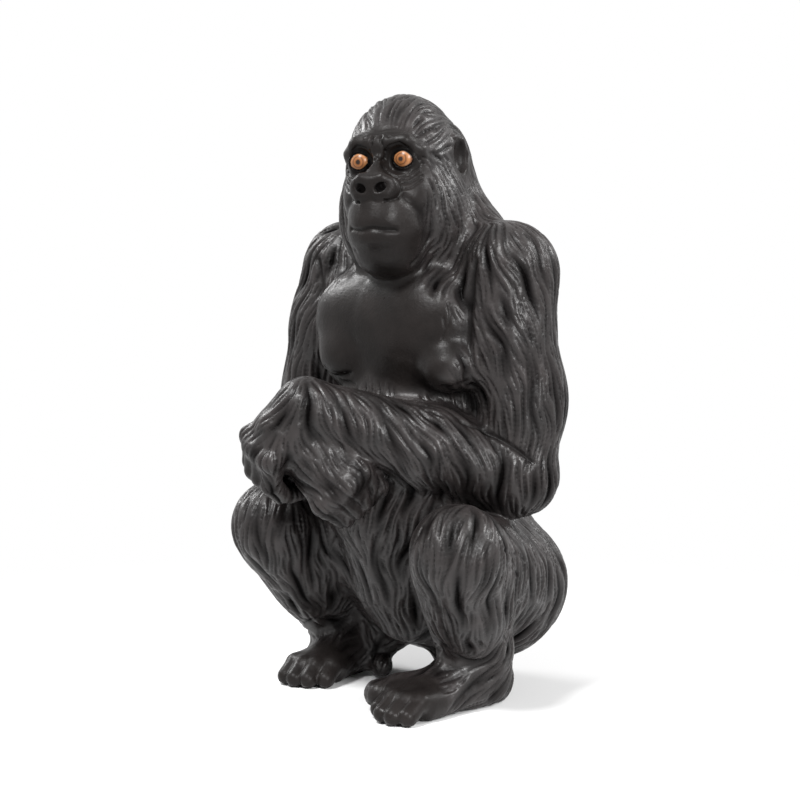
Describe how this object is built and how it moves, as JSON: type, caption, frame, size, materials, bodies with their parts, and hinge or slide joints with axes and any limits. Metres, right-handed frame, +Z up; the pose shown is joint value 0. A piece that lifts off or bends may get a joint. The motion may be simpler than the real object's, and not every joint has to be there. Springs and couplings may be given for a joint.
{
  "type": "gorilla figurine",
  "caption": "Small moulded figurine of a gorilla crouching with its arms folded over its knees, with carved fur, a bare face and chest, and painted eyes",
  "frame": {"origin": "on the surface the figurine stands on, under the middle of its bounding box", "axes": "+Z up, the chest and toes face -Y, the gorilla's left side is +X, and the head is turned about 20 degrees to its left"},
  "size_m": [0.046, 0.0406, 0.0749],
  "materials": {
    "skin": "satin, moulded fur relief, painted amber eyes"
  },
  "bodies": {
    "root": {"gorilla_figure": "skin"}
  },
  "joints": []
}
